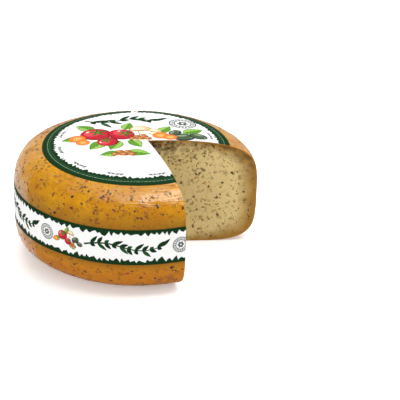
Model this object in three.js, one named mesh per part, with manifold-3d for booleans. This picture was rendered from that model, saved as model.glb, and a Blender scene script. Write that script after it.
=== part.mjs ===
// A round herb cheese with one wedge cut out of it, and the two paper labels on its rind.
//
// The wheel is one solid: a flat-footed superellipse turned about Z, less a straight-sided notch
// whose point lies a little off the axis. The largest pieces of herb and pepper stand a little
// proud of the rind and of both cut faces. A round label follows the crowned top, and a band
// goes round the side. Both were on the wheel before it was cut, so the knife went through them.
//
// Millimetres, +Z up. The origin is on the wheel's axis, in the plane that it rests on.

import * as THREE from "three";
import { mergeVertices } from "three/addons/utils/BufferGeometryUtils.js";
import Module from "manifold-3d";

const wasm = await Module();
wasm.setup();

// ---- Driving dimensions ----

const WHEEL_DIAMETER = 240;
const WHEEL_HEIGHT = 110;
const TOP_CROWN = 3.0; // across: lower is a rounder, more crowned top
const TOP_SHOULDER = 4.6; // up: higher is a squarer shoulder
const FOOT_CROWN = 6.7;
const FOOT_SHOULDER = 4.8;
const FOOT_SAG = 0.4; // how far the wheel has settled flat on its own weight

const NOTCH_POINT = new THREE.Vector2(10.4, -2.9); // where the two cuts meet
const NOTCH_OPENING = 75; // degrees between the cuts
const NOTCH_MIDDLE = -45; // degrees, the way that the notch faces

const LABEL_RADIUS = 92;
const BAND_LOW = 35;
const BAND_HIGH = 71;
const PAPER = 0.35; // a printed label with its glue and film
const PAPER_GAP = 0.15; // between the label and the rind's facets

const RIND_PIECES = 380; // laid round the whole rind, before those in the notch or on a label are left out
const CUT_PIECES = 52; // laid over each cut face's frame, before those off the face are left out
const PIECE_LENGTH = [3.2, 5.8];
const PIECE_NARROWNESS = [0.4, 0.68]; // width as a share of length
const PIECE_STAND = 0.42; // how far a piece stands proud
const PIECE_MARGIN = 4.5; // kept clear of an edge or a label
const PIECE_SEED = 20;

// ---- How finely the round forms are divided ----

const TURN_SEGMENTS = 72;
const PROFILE_STEPS = 30;
const PROFILE_SAMPLES = 1200;
const LONGEST_STEP = 30; // on a flat stretch of the profile
const TURN_STEP = THREE.MathUtils.degToRad(8); // on a curved one

const WHEEL_RADIUS = WHEEL_DIAMETER / 2;
const MIDDLE = WHEEL_HEIGHT / 2;
const CLEAR_OF_ALL = 2 * WHEEL_DIAMETER;
const GOLDEN_ANGLE = Math.PI * (3 - Math.sqrt(5));

// ---- Solids from three.js geometry, and back ----

// A closed geometry as a solid, with the seam's and the axis's vertices merged.
function toSolid(geometry) {
  const bare = geometry.index ? geometry.toNonIndexed() : geometry.clone();
  bare.deleteAttribute("normal");
  bare.deleteAttribute("uv");
  const merged = mergeVertices(bare, 1e-4);
  const corners = merged.index.array;
  const kept = [];
  for (let i = 0; i < corners.length; i += 3) {
    const [a, b, c] = corners.slice(i, i + 3);
    if (a !== b && b !== c && c !== a) kept.push(a, b, c);
  }
  return new wasm.Manifold(
    new wasm.Mesh({
      numProp: 3,
      vertProperties: merged.attributes.position.array,
      triVerts: new Uint32Array(kept),
    }),
  );
}

function toGeometry(solid) {
  const mesh = solid.getMesh();
  const geometry = new THREE.BufferGeometry();
  geometry.setAttribute("position", new THREE.BufferAttribute(mesh.vertProperties, mesh.numProp));
  geometry.setIndex(new THREE.BufferAttribute(mesh.triVerts, 1));
  return geometry;
}

// A profile of (radius, height) points turned about Z. It starts low and ends high, or goes
// round its own area the same way, so that the faces point out.
function turned(profile) {
  return toSolid(new THREE.LatheGeometry(profile, TURN_SEGMENTS).rotateX(Math.PI / 2));
}

// ---- The wheel's profile ----

// A point of the half section, from the foot's centre at 0 to the crown's centre at 1.
function sectionPoint(t) {
  const angle = Math.PI * t;
  const across = Math.sin(angle);
  const up = -Math.cos(angle);
  if (up >= 0) {
    return new THREE.Vector2(
      WHEEL_RADIUS * across ** (2 / TOP_CROWN),
      MIDDLE + MIDDLE * up ** (2 / TOP_SHOULDER),
    );
  }
  const drop = (MIDDLE + FOOT_SAG) * (-up) ** (2 / FOOT_SHOULDER);
  return new THREE.Vector2(WHEEL_RADIUS * across ** (2 / FOOT_CROWN), Math.max(0, MIDDLE - drop));
}

const finePoints = Array.from({ length: PROFILE_SAMPLES + 1 }, (_, i) => sectionPoint(i / PROFILE_SAMPLES));
finePoints[0].x = 0;
finePoints[PROFILE_SAMPLES].x = 0;

// The same section with few points, close together where it curves and far apart where it is flat.
function coarseSection() {
  const travelled = [0];
  for (let i = 1; i < finePoints.length; i++) {
    const along = finePoints[i].clone().sub(finePoints[i - 1]);
    const before = i > 1 ? finePoints[i - 1].clone().sub(finePoints[i - 2]) : along;
    const bend = Math.abs(Math.atan2(before.cross(along), before.dot(along)));
    travelled.push(travelled[i - 1] + along.length() / LONGEST_STEP + bend / TURN_STEP);
  }
  const total = travelled[travelled.length - 1];
  const kept = [finePoints[0]];
  for (let step = 1; step < PROFILE_STEPS; step++) {
    kept.push(finePoints[travelled.findIndex((value) => value >= (step / PROFILE_STEPS) * total)]);
  }
  kept.push(finePoints[PROFILE_SAMPLES]);
  return kept;
}

const section = coarseSection();

// The stretch of the coarse section between two limits of "along", which only grows or only
// shrinks over it, with its ends cut on the section's own straight sides.
function stretch(points, along, low, high) {
  const cut = (a, b, value) => a.clone().lerp(b, (value - along(a)) / (along(b) - along(a)));
  const kept = [];
  points.forEach((point, i) => {
    const before = points[i - 1];
    for (const limit of before ? [low, high] : []) {
      if ((along(before) - limit) * (along(point) - limit) < 0) kept.push(cut(before, point, limit));
    }
    if (along(point) >= low && along(point) <= high) kept.push(point.clone());
  });
  return kept;
}

// ---- The notch ----

const direction = (degrees) =>
  new THREE.Vector2(Math.cos(THREE.MathUtils.degToRad(degrees)), Math.sin(THREE.MathUtils.degToRad(degrees)));
const NEAR_CUT = direction(NOTCH_MIDDLE - NOTCH_OPENING / 2);
const FAR_CUT = direction(NOTCH_MIDDLE + NOTCH_OPENING / 2);

function notch() {
  const outline = new THREE.Shape([
    NOTCH_POINT.clone(),
    NOTCH_POINT.clone().addScaledVector(NEAR_CUT, CLEAR_OF_ALL),
    NOTCH_POINT.clone().addScaledVector(FAR_CUT, CLEAR_OF_ALL),
  ]);
  const prism = new THREE.ExtrudeGeometry(outline, { depth: 2 * WHEEL_HEIGHT, bevelEnabled: false });
  return toSolid(prism.translate(0, 0, -WHEEL_HEIGHT / 2));
}

// How far a point lies outside the notch, beyond the nearer of its two cuts; negative inside it.
function outsideNotch(x, y) {
  const from = new THREE.Vector2(x, y).sub(NOTCH_POINT);
  return Math.max(-NEAR_CUT.cross(from), FAR_CUT.cross(from));
}

// ---- Pieces of herb and pepper ----

function seededRandom(seed) {
  let state = seed >>> 0;
  return () => {
    state = (Math.imul(state, 1664525) + 1013904223) >>> 0;
    return state / 2 ** 32;
  };
}

const random = seededRandom(PIECE_SEED);
const between = ([low, high]) => low + (high - low) * random();

// One piece: a low, faceted lens, half sunk in the face that it lies on.
function piece(position, outward) {
  const length = between(PIECE_LENGTH);
  const width = length * between(PIECE_NARROWNESS);
  const lens = new THREE.IcosahedronGeometry(1, 0).rotateZ(between([0, Math.PI]));
  const place = new THREE.Object3D();
  place.position.copy(position);
  place.quaternion.setFromUnitVectors(new THREE.Vector3(0, 0, 1), outward);
  place.rotateZ(between([0, Math.PI]));
  place.scale.set(length / 2, width / 2, PIECE_STAND);
  place.updateMatrix();
  return toSolid(lens.applyMatrix4(place.matrix));
}

// Pieces spread evenly over the rind by area, turning by the golden angle from each to the next.
function rindPieces() {
  const area = [0];
  for (let i = 1; i < finePoints.length; i++) {
    const [a, b] = [finePoints[i - 1], finePoints[i]];
    area.push(area[i - 1] + a.distanceTo(b) * (a.x + b.x));
  }
  const pieces = [];
  for (let n = 0; n < RIND_PIECES; n++) {
    const share = ((n + random()) / RIND_PIECES) * area[PROFILE_SAMPLES];
    const i = Math.max(1, area.findIndex((value) => value >= share));
    const point = finePoints[i];
    const along = point.clone().sub(finePoints[i - 1]).normalize();
    const angle = n * GOLDEN_ANGLE;
    const [x, y] = [point.x * Math.cos(angle), point.x * Math.sin(angle)];
    const onFoot = point.y < 2 * PIECE_MARGIN;
    const onLabel = point.y > MIDDLE && point.x < LABEL_RADIUS + PIECE_MARGIN;
    const onBand = point.y > BAND_LOW - PIECE_MARGIN && point.y < BAND_HIGH + PIECE_MARGIN;
    if (onFoot || onLabel || onBand || outsideNotch(x, y) < PIECE_MARGIN) continue;
    const outward = new THREE.Vector3(along.y * Math.cos(angle), along.y * Math.sin(angle), -along.x);
    pieces.push(piece(new THREE.Vector3(x, y, point.y), outward.normalize()));
  }
  return pieces;
}

// Pieces spread evenly over one cut face, by a two-way sequence that never bunches.
function cutFacePieces(along, outward) {
  const plastic = 1.3247179572447;
  const pieces = [];
  for (let n = 1; n <= CUT_PIECES; n++) {
    const distance = ((n / plastic) % 1) * WHEEL_RADIUS;
    const height = ((n / plastic ** 2) % 1) * WHEEL_HEIGHT;
    const spot = NOTCH_POINT.clone().addScaledVector(along, distance);
    const beyond = spot.clone().addScaledVector(along, PIECE_MARGIN).length();
    const [low, high] = heightsAt(Math.min(beyond, WHEEL_RADIUS));
    const offFace = distance < PIECE_MARGIN || height < low + PIECE_MARGIN || height > high - PIECE_MARGIN;
    if (beyond > WHEEL_RADIUS || offFace) continue;
    pieces.push(piece(new THREE.Vector3(spot.x, spot.y, height), outward));
  }
  return pieces;
}

// The foot's and the crown's height at a distance from the axis.
function heightsAt(radius) {
  const crown = MIDDLE * (1 - (radius / WHEEL_RADIUS) ** TOP_CROWN) ** (1 / TOP_SHOULDER);
  const foot = (MIDDLE + FOOT_SAG) * (1 - (radius / WHEEL_RADIUS) ** FOOT_CROWN) ** (1 / FOOT_SHOULDER);
  return [Math.max(0, MIDDLE - foot), MIDDLE + crown];
}

// ---- The cheese and its labels ----

function cheeseWheel() {
  const nearOutward = new THREE.Vector3(-NEAR_CUT.y, NEAR_CUT.x, 0);
  const farOutward = new THREE.Vector3(FAR_CUT.y, -FAR_CUT.x, 0);
  const pieces = [
    ...rindPieces(),
    ...cutFacePieces(NEAR_CUT, nearOutward),
    ...cutFacePieces(FAR_CUT, farOutward),
  ];
  return wasm.Manifold.union([turned(section).subtract(notch()), ...pieces]);
}

// The round label: the crown's own section out to the label's rim, raised clear of the rind.
function topLabel() {
  const crown = stretch(
    section.filter((point) => point.y > MIDDLE),
    (point) => point.x,
    0,
    LABEL_RADIUS,
  );
  const raised = (height) => crown.map((point) => new THREE.Vector2(point.x, point.y + height));
  const profile = [...raised(PAPER_GAP).reverse(), ...raised(PAPER_GAP + PAPER)];
  return turned(profile).subtract(notch());
}

// The band: the side's own section between two heights, moved out clear of the rind.
function sideLabel() {
  const side = stretch(section, (point) => point.y, BAND_LOW, BAND_HIGH);
  const spread = (distance) => side.map((point) => new THREE.Vector2(point.x + distance, point.y));
  const profile = [...spread(PAPER_GAP + PAPER), ...spread(PAPER_GAP).reverse()];
  profile.push(profile[0].clone());
  return turned(profile).subtract(notch());
}

function named(name, solid, colour, roughness) {
  const material = new THREE.MeshStandardMaterial({ color: colour, roughness, metalness: 0 });
  const mesh = new THREE.Mesh(toGeometry(solid), material);
  mesh.name = name;
  return mesh;
}

const herbCheese = new THREE.Group();
herbCheese.add(
  named("cheese_wheel", cheeseWheel(), 0xd19a35, 0.4),
  named("top_label", topLabel(), 0xf7f7f4, 0.55),
  named("side_label", sideLabel(), 0xf7f7f4, 0.55),
);

export default herbCheese;
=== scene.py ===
import math

import bpy
import numpy as np
from mathutils import Matrix, Quaternion, Vector
from mathutils.geometry import delaunay_2d_cdt


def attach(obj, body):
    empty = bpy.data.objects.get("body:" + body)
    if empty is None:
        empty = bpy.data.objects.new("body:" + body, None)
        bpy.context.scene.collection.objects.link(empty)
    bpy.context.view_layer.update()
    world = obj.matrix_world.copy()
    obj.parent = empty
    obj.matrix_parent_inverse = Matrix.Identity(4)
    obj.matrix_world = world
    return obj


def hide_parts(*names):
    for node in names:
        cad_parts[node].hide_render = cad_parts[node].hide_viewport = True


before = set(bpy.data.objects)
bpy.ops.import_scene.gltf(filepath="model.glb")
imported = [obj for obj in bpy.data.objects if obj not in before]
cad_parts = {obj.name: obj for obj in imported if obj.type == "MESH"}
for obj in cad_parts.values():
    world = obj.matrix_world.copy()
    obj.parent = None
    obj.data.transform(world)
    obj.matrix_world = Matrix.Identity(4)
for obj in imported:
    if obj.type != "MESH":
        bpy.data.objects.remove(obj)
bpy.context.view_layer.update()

# ---- The wheel ----
# A wheel of semi-hard cheese, pressed in a round mould and brushed with a glossy golden coating.
# It stands on a foot that its own weight has flattened, and its top is crowned. A notch was made
# in it with two straight cuts, which meet a little off the middle and show the paste inside.

MM = 0.001
WHEEL_RADIUS = 120 * MM
MIDDLE = 55 * MM
CROWN_ACROSS, CROWN_UP = 3.0, 4.6
FOOT_ACROSS, FOOT_DOWN = 6.7, 4.8
FOOT_SAG = 0.4 * MM
NOTCH_POINT = np.array([10.4, -2.9]) * MM
FAR_CUT_DEGREES, NEAR_CUT_DEGREES = -7.5, 277.5

COLUMNS = 300
CROWN_ROWS, FOOT_ROWS = 78, 60
UNEVEN = 0.35 * MM
WAVES, WAVE_SPAN, WAVE_GAIN = 7, (45 * MM, 130 * MM), 1.6
FOOT_EASE = 8 * MM
RISE_WEIGHT = 1.4
PROFILE_STEPS = 4000


def compass(degrees):
    """A level direction, counted round from +X."""
    return np.array([math.cos(math.radians(degrees)), math.sin(math.radians(degrees))])


def shaped(radius, power, up_power):
    """How much of the rise is left at a distance from the axis, on a superellipse."""
    left = np.clip(1 - (radius / WHEEL_RADIUS) ** power, 0, 1)
    return np.where(left < 1e-9, 0, left) ** (1 / up_power)


def crown_height(radius):
    """How high the top is at a distance from the axis."""
    return MIDDLE + MIDDLE * shaped(radius, CROWN_ACROSS, CROWN_UP)


def foot_height(radius):
    """How high the underside is at a distance from the axis."""
    return np.maximum(0, MIDDLE - (MIDDLE + FOOT_SAG) * shaped(radius, FOOT_ACROSS, FOOT_DOWN))


wave_draw = np.random.default_rng(11)
wave_turns = wave_draw.normal(size=(WAVES, 3))
wave_turns /= np.linalg.norm(wave_turns, axis=1)[:, None]
wave_turns *= 2 * np.pi / wave_draw.uniform(*WAVE_SPAN, (WAVES, 1))
wave_starts = wave_draw.uniform(0, 2 * np.pi, WAVES)


def settled(points):
    """Points of the true round form, moved in by the small hollows of a wheel that was turned
    and handled while it ripened. The foot stays flat."""
    waves = np.sin(points @ wave_turns.T + wave_starts).mean(axis=1) * WAVE_GAIN
    rise = np.clip(points[:, 2] / FOOT_EASE, 0, 1)
    depth = UNEVEN * (1 + np.clip(waves, -1, 1)) * rise
    outward = points - [0, 0, MIDDLE]
    outward[:, 2] *= RISE_WEIGHT
    outward /= np.linalg.norm(outward, axis=1)[:, None] + 1e-9
    return points - outward * depth[:, None]


def run_to_circle(direction, radius):
    """How far a ray from the notch's point goes before it meets a circle round the axis."""
    along = NOTCH_POINT @ direction
    return -along + np.sqrt(along**2 + radius**2 - NOTCH_POINT @ NOTCH_POINT)


def even_shares(rows, across, up):
    """Shares of the way out to the girth, at even steps along the rind."""
    turn = np.linspace(0, np.pi / 2, PROFILE_STEPS)
    out = np.sin(turn) ** (2 / across)
    rise = np.cos(turn) ** (2 / up) * MIDDLE / WHEEL_RADIUS
    walked = np.concatenate([[0], np.cumsum(np.hypot(np.diff(out), np.diff(rise)))])
    return np.interp(np.linspace(0, walked[-1], rows + 1), walked, out)


def rind_grid():
    """Rows of points from the crown's centre out to the girth and back under to the foot's."""
    rows = []
    columns = [compass(d) for d in np.linspace(FAR_CUT_DEGREES, NEAR_CUT_DEGREES, COLUMNS + 1)]
    runs = np.array([run_to_circle(column, WHEEL_RADIUS) for column in columns])
    crown = even_shares(CROWN_ROWS, CROWN_ACROSS, CROWN_UP)[1:]
    foot = even_shares(FOOT_ROWS, FOOT_ACROSS, FOOT_DOWN)[1:-1][::-1]
    for share, height in [(s, crown_height) for s in crown] + [(s, foot_height) for s in foot]:
        level = NOTCH_POINT + np.array(columns) * (runs * share)[:, None]
        reach = np.hypot(level[:, 0], level[:, 1])
        rows.append(np.column_stack([level, height(reach)]))
    return settled(np.concatenate(rows)), len(rows)


grid, grid_rows = rind_grid()
# The cuts meet in a line, and these are its ends, on the crown and on the foot.
point_ends = settled(np.array([
    [*NOTCH_POINT, crown_height(np.hypot(*NOTCH_POINT))],
    [*NOTCH_POINT, 0],
]))
wheel_points = [*point_ends, *grid]
wheel_faces = []


def on_grid(row, column):
    """The number of a point of the rind's grid, after the two ends of the cuts' line."""
    return 2 + row * (COLUMNS + 1) + column


for column in range(COLUMNS):
    wheel_faces.append((0, on_grid(0, column), on_grid(0, column + 1)))
    for row in range(grid_rows - 1):
        wheel_faces.append((
            on_grid(row, column),
            on_grid(row + 1, column),
            on_grid(row + 1, column + 1),
            on_grid(row, column + 1),
        ))
    last = grid_rows - 1
    wheel_faces.append((1, on_grid(last, column + 1), on_grid(last, column)))
rind_faces = len(wheel_faces)

# The knife leaves a flat face with a faint drag in it, and opens the odd small eye.
CUT_SPACING = 1.25 * MM
CUT_INSETS = [0.4 * MM, 0.9 * MM, 1.5 * MM, 2.2 * MM]
CUT_START, CUT_MARGIN = 0.8 * MM, 2.9 * MM
CORNER_STEPS = 72
CORNER_CLEAR = 0.7 * MM
EDGE_FADE = 2 * MM
RIND_LINE_STEPS = 700
EYES_A_CUT = 13
EYE_RADIUS = [0.7 * MM, 2.0 * MM]
EYE_MARGIN = 9 * MM
EYES_APART = 5 * EYE_RADIUS[1]
EYE_RINGS, EYE_RING_TURNS = (0.45, 0.8, 1.0, 1.2), range(0, 360, 24)
DRAG = 0.10 * MM
DRAG_WAVES, DRAG_SPAN = 6, (9 * MM, 60 * MM)
SHARP_ANGLE = math.radians(50)


def triangles_of(points, loops):
    """Flat triangles that keep every edge of the loops: their points, their corners, and which
    of the given points each one is."""
    edges = [(loop[i - 1], loop[i]) for loop in loops for i in range(len(loop))]
    made = delaunay_2d_cdt([Vector(p) for p in points], edges, [], 0, 1e-7, True)
    return made[0], made[2], made[3]


def inside(spots, outline):
    """Whether flat spots lie inside an outline."""
    x, y = spots[:, 0][:, None], spots[:, 1][:, None]
    x0, y0 = outline.T
    x1, y1 = np.roll(outline, -1, axis=0).T
    rise = np.where(y1 == y0, 1e-30, y1 - y0)
    crossed = ((y0 > y) != (y1 > y)) & (x < (x1 - x0) * (y - y0) / rise + x0)
    return crossed.sum(axis=1) % 2 == 1


def away_from(points, line):
    """How far each point is from a line of closely spaced points."""
    return np.concatenate([
        np.sqrt(((some[:, None] - line[None]) ** 2).sum(axis=2).min(axis=1))
        for some in np.array_split(points, len(points) // 400 + 1)
    ])


class CutFace:
    """One flat cut, measured out from the notch's point and up from the floor. Its hand is 1
    where the paste faces to the right of the way out, and -1 where it faces to the left."""

    def __init__(self, degrees, hand, seed):
        self.direction = compass(degrees)
        self.hand = hand
        self.outward = hand * np.array([self.direction[1], -self.direction[0], 0])
        self.reach = run_to_circle(self.direction, WHEEL_RADIUS)
        draw = np.random.default_rng(seed)
        self.waves = draw.normal(size=(DRAG_WAVES, 2))
        self.waves /= np.linalg.norm(self.waves, axis=1)[:, None]
        self.waves *= 2 * np.pi / draw.uniform(*DRAG_SPAN, (DRAG_WAVES, 1))
        self.starts = draw.uniform(0, 2 * np.pi, DRAG_WAVES)
        self.eyes = []
        while len(self.eyes) < EYES_A_CUT:
            spot = np.array([draw.uniform(0.05, 0.95) * self.reach, draw.uniform(0, 2 * MIDDLE)])
            radius = draw.uniform(*EYE_RADIUS)
            low, high = self.heights(spot[0])
            apart = all(np.hypot(*(spot - other)) > EYES_APART for other, _ in self.eyes)
            if apart and low + EYE_MARGIN < spot[1] < high - EYE_MARGIN:
                self.eyes.append((spot, radius))

    def heights(self, along):
        """How high the foot and the crown are, so far out along the cut."""
        spot = NOTCH_POINT + np.multiply.outer(along, self.direction)
        radius = np.minimum(np.hypot(spot[..., 0], spot[..., 1]), WHEEL_RADIUS)
        return foot_height(radius), crown_height(radius)

    def depth(self, flat):
        """How far the paste stands out of the true flat; an eye goes well in."""
        out = DRAG * np.sin(flat @ self.waves.T + self.starts).mean(axis=1)
        for spot, radius in self.eyes:
            away = np.hypot(*(flat - spot).T) / radius
            out -= radius * np.sqrt(np.clip(1 - away**2, 0, 1))
        return out

    def placed(self, flat, out):
        """Points of the flat cut, so far out of it, where they are on the wheel."""
        level = NOTCH_POINT + np.multiply.outer(flat[:, 0], self.direction)
        return np.column_stack([level, flat[:, 1]]) + np.multiply.outer(out, self.outward)

    def flat(self, points):
        """Where points of the wheel are on the flat cut."""
        return np.column_stack([(points[:, :2] - NOTCH_POINT) @ self.direction, points[:, 2]])


far_cut = CutFace(FAR_CUT_DEGREES, 1, 31)
near_cut = CutFace(NEAR_CUT_DEGREES, -1, 32)
corner_line = list(range(len(wheel_points), len(wheel_points) + CORNER_STEPS - 1))
for share in np.arange(1, CORNER_STEPS) / CORNER_STEPS:
    wheel_points.append(point_ends[0] * (1 - share) + point_ends[1] * share)
# How far in from the rind each point of the cuts lies, which gives the paste its colour.
under_rind = {}

# Each cut is filled with flat triangles, from the rind's edge in to the line where the cuts meet.
for cut, column in ((far_cut, 0), (near_cut, COLUMNS)):
    side = [1] + [on_grid(row, column) for row in reversed(range(grid_rows))] + [0]
    loop = side + corner_line
    edge = cut.flat(np.array(wheel_points)[loop])
    rind_edge = edge[: len(side)]
    walked = np.concatenate([[0], np.cumsum(np.hypot(*np.diff(rind_edge, axis=0).T))])
    close = np.linspace(0, walked[-1], RIND_LINE_STEPS)
    rind_line = np.column_stack([np.interp(close, walked, rind_edge[:, i]) for i in (0, 1)])
    cut.rind_line = rind_line
    # Rows that follow the rind closely, an even lattice in the middle, and rings in the eyes.
    along_edge = np.gradient(rind_edge, axis=0)
    inward = np.column_stack([-along_edge[:, 1], along_edge[:, 0]])
    inward /= np.linalg.norm(inward, axis=1)[:, None]
    insets = np.concatenate([rind_edge + inward * inset for inset in CUT_INSETS])
    insets = insets[insets[:, 0] > CORNER_CLEAR]
    across = np.arange(CUT_START, cut.reach, CUT_SPACING)
    up = np.arange(0, 2 * MIDDLE, CUT_SPACING * math.sqrt(3) / 2)
    lattice = np.array([
        (along + CUT_SPACING / 2 * (row % 2), height)
        for row, height in enumerate(up)
        for along in across
    ])
    low, high = cut.heights(lattice[:, 0])
    lattice = lattice[(lattice[:, 1] > low) & (lattice[:, 1] < high)]
    lattice = lattice[away_from(lattice, rind_line) > CUT_MARGIN]
    rings = [
        spot + radius * ring * compass(turn)
        for spot, radius in cut.eyes
        for ring in EYE_RINGS
        for turn in EYE_RING_TURNS
    ]
    within = np.concatenate([insets, lattice, rings])
    deep = away_from(within, rind_line)
    fade = np.minimum(deep, within[:, 0]) / EDGE_FADE
    indices = loop + list(range(len(wheel_points), len(wheel_points) + len(within)))
    under_rind.update(zip(corner_line, away_from(edge[len(side):], rind_line)))
    under_rind.update(zip(indices[len(loop):], deep))
    wheel_points.extend(cut.placed(within, cut.depth(within) * np.clip(fade, 0, 1)))
    flat_points = np.concatenate([edge, within]) / MM
    flat, faces, came_from = triangles_of(flat_points, [list(range(len(edge)))])
    middles = np.array(flat)[np.array(faces)].mean(axis=1)
    for face, paste_face in zip(faces, inside(middles, edge / MM)):
        corners = [indices[came_from[corner][0]] for corner in face]
        if paste_face:
            wheel_faces.append(tuple(corners if cut is far_cut else reversed(corners)))


def new_piece(name, points, faces, materials):
    """A named mesh in the scene, shaded smooth."""
    mesh = bpy.data.meshes.new(name)
    mesh.from_pydata([tuple(p) for p in points], [], [tuple(map(int, f)) for f in faces])
    for material in materials:
        mesh.materials.append(material)
    mesh.shade_smooth()
    piece = bpy.data.objects.new(name, mesh)
    bpy.context.scene.collection.objects.link(piece)
    return piece


def paint(red, green, blue):
    """A colour by its screen values, 0 to 255, as light."""
    light = []
    for value in (red / 255, green / 255, blue / 255):
        light.append(value / 12.92 if value <= 0.04045 else ((value + 0.055) / 1.055) ** 2.4)
    return (*light, 1.0)


class Finish:
    """A material under construction: its shader, and the nodes that lead to it."""

    def __init__(self, name, roughness, coat=0.0, coat_roughness=0.1, specular=0.5, coat_ior=1.5):
        self.material = bpy.data.materials.new(name)
        self.material.use_nodes = True
        self.tree = self.material.node_tree
        self.shader = self.tree.nodes["Principled BSDF"]
        self.shader.inputs["Roughness"].default_value = roughness
        self.shader.inputs["Coat Weight"].default_value = coat
        self.shader.inputs["Coat Roughness"].default_value = coat_roughness
        self.shader.inputs["Coat IOR"].default_value = coat_ior
        self.shader.inputs["Specular IOR Level"].default_value = specular
        self.place = self.add("ShaderNodeTexCoord").outputs["Object"]

    def add(self, kind, inputs=(), **settings):
        """A node with its settings, and its inputs by name or number: a value or an output."""
        made = self.tree.nodes.new(kind)
        for name, value in settings.items():
            setattr(made, name, value)
        for name, value in dict(inputs).items():
            if isinstance(value, bpy.types.NodeSocket):
                self.tree.links.new(value, made.inputs[name])
            else:
                made.inputs[name].default_value = value
        return made

    def sums(self, operation, *values):
        """What a sum comes to, of values or outputs."""
        return self.add("ShaderNodeMath", enumerate(values), operation=operation).outputs[0]

    def between(self, value, low, high):
        """0 up to low, 1 from high on, and even in between."""
        inputs = {"Value": value, "From Min": low, "From Max": high}
        return self.add("ShaderNodeMapRange", inputs).outputs["Result"]

    def cloud(self, size, low=0.35, high=0.65, place=None, detail=3.0):
        """Soft patches about so many metres across, from 0 to 1."""
        inputs = {"Vector": place or self.place, "Scale": 0.5 / size, "Detail": detail}
        noise = self.add("ShaderNodeTexNoise", inputs).outputs["Fac"]
        return self.between(noise, low, high)

    def mixed(self, share, under, over):
        """A colour from under, at a share of 0, to over, at 1."""
        inputs = {0: share, 6: under, 7: over}
        return self.add("ShaderNodeMix", inputs, data_type="RGBA").outputs[2]

    def laid_on(self, under, over, strength, patches):
        """A colour with another one laid on it in patches, up to a strength."""
        return self.mixed(self.sums("MULTIPLY", patches, strength), under, over)

    def specks(self, size, share, width=0.3):
        """Small dots in so great a share of cells of this size."""
        cells = self.add("ShaderNodeTexVoronoi", {"Vector": self.place, "Scale": 1 / size})
        dot = self.between(cells.outputs["Distance"], width, width * 0.55)
        pick = self.add("ShaderNodeSeparateColor", {0: cells.outputs["Color"]}).outputs[0]
        return self.sums("MULTIPLY", dot, self.sums("LESS_THAN", pick, share))

    def waxy(self, weight, radius, scale):
        """Light goes a little way into the surface and comes out beside where it went in."""
        self.shader.inputs["Subsurface Weight"].default_value = weight
        self.shader.inputs["Subsurface Radius"].default_value = radius
        self.shader.inputs["Subsurface Scale"].default_value = scale

    def bumps(self, height, strength, distance):
        """Relief too fine for the mesh, on the surface and on the coat over it."""
        inputs = {"Height": height, "Strength": strength, "Distance": distance}
        bent = self.add("ShaderNodeBump", inputs).outputs[0]
        self.feed("Normal", bent)
        self.feed("Coat Normal", bent)

    def feed(self, socket, value):
        self.tree.links.new(value, self.shader.inputs[socket])


GOLD = paint(191, 130, 2)
HONEY = paint(208, 149, 6)
AMBER = paint(174, 101, 2)
# Painted shade: the rind's colour low on the side, darker as if less light reached it there.
LOW_SIDE_SHADE_GOLD = paint(184, 112, 10)
SMUDGE_BROWN = paint(132, 74, 14)
STAIN_BROWN = paint(112, 62, 40)
SPECK_BROWN = paint(84, 44, 14)
BLOOM = paint(255, 222, 176)
# Painted shade along both edges of the band: its colour, how far it reaches, and how much sooner it
# fades below.
BAND_EDGE_SHADE = paint(132, 88, 4)
BAND_FOOT, BAND_TOP = 35 * MM, 71 * MM
BAND_SHADE_REACH = 18 * MM
BAND_SHADE_BELOW_PACE = 2.2
STREAK_PULL = 0.16
# How high these stand against one another, before the relief is made its height.
DENTS, PORES, STREAKS = 1.6, 0.25, 0.68
COAT_RELIEF = 0.65 * MM


def round_the_wheel(finish):
    """A place to draw streaks by: they run round the wheel, as the brush did."""
    place = finish.add("ShaderNodeSeparateXYZ", {0: finish.place}).outputs
    level = finish.add("ShaderNodeCombineXYZ", {0: place["X"], 1: place["Y"]}).outputs[0]
    reach = finish.add("ShaderNodeVectorMath", {0: level}, operation="LENGTH").outputs["Value"]
    heading = finish.add("ShaderNodeVectorMath", {0: level}, operation="NORMALIZE").outputs[0]
    pulled = {0: heading, "Scale": STREAK_PULL * WHEEL_RADIUS}
    heading = finish.add("ShaderNodeVectorMath", pulled, operation="SCALE").outputs[0]
    down_the_side = finish.sums("SUBTRACT", place["Z"], reach)
    across = finish.add("ShaderNodeCombineXYZ", {2: down_the_side}).outputs[0]
    return finish.add("ShaderNodeVectorMath", {0: heading, 1: across}, operation="ADD").outputs[0]


def golden_rind(finish):
    """The coating's colour: gold with honey and amber clouds, darkened by painted shade along the
    band's edges and low on the side, with brown smudges where flakes lie deep, and a few stains."""
    height = finish.add("ShaderNodeSeparateXYZ", {0: finish.place}).outputs["Z"]
    colour = finish.mixed(finish.cloud(24 * MM, 0.3, 0.7), GOLD, HONEY)
    colour = finish.laid_on(colour, AMBER, 0.6, finish.cloud(9 * MM, 0.45, 0.75))
    # Painted shade: the side darkens towards the foot, as if less light fell low on it.
    low = finish.between(height, BAND_FOOT + 12 * MM, BAND_FOOT - 14 * MM)
    colour = finish.mixed(low, colour, LOW_SIDE_SHADE_GOLD)
    # Painted shade: the coating darkens towards both edges of the band.
    above = finish.sums("SUBTRACT", height, BAND_TOP)
    below = finish.sums("MULTIPLY", finish.sums("SUBTRACT", BAND_FOOT, height), BAND_SHADE_BELOW_PACE)
    band_shade_share = finish.between(finish.sums("MAXIMUM", above, below), BAND_SHADE_REACH, 0)
    colour = finish.laid_on(colour, BAND_EDGE_SHADE, 0.82, band_shade_share)
    streaks = finish.cloud(2.4 * MM, 0.45, 0.8, place=round_the_wheel(finish))
    colour = finish.laid_on(colour, AMBER, 0.35, streaks)
    colour = finish.laid_on(colour, SMUDGE_BROWN, 0.6, finish.cloud(3.2 * MM, 0.57, 0.72))
    return finish.laid_on(colour, STAIN_BROWN, 0.6, finish.cloud(17 * MM, 0.66, 0.78))


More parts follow.
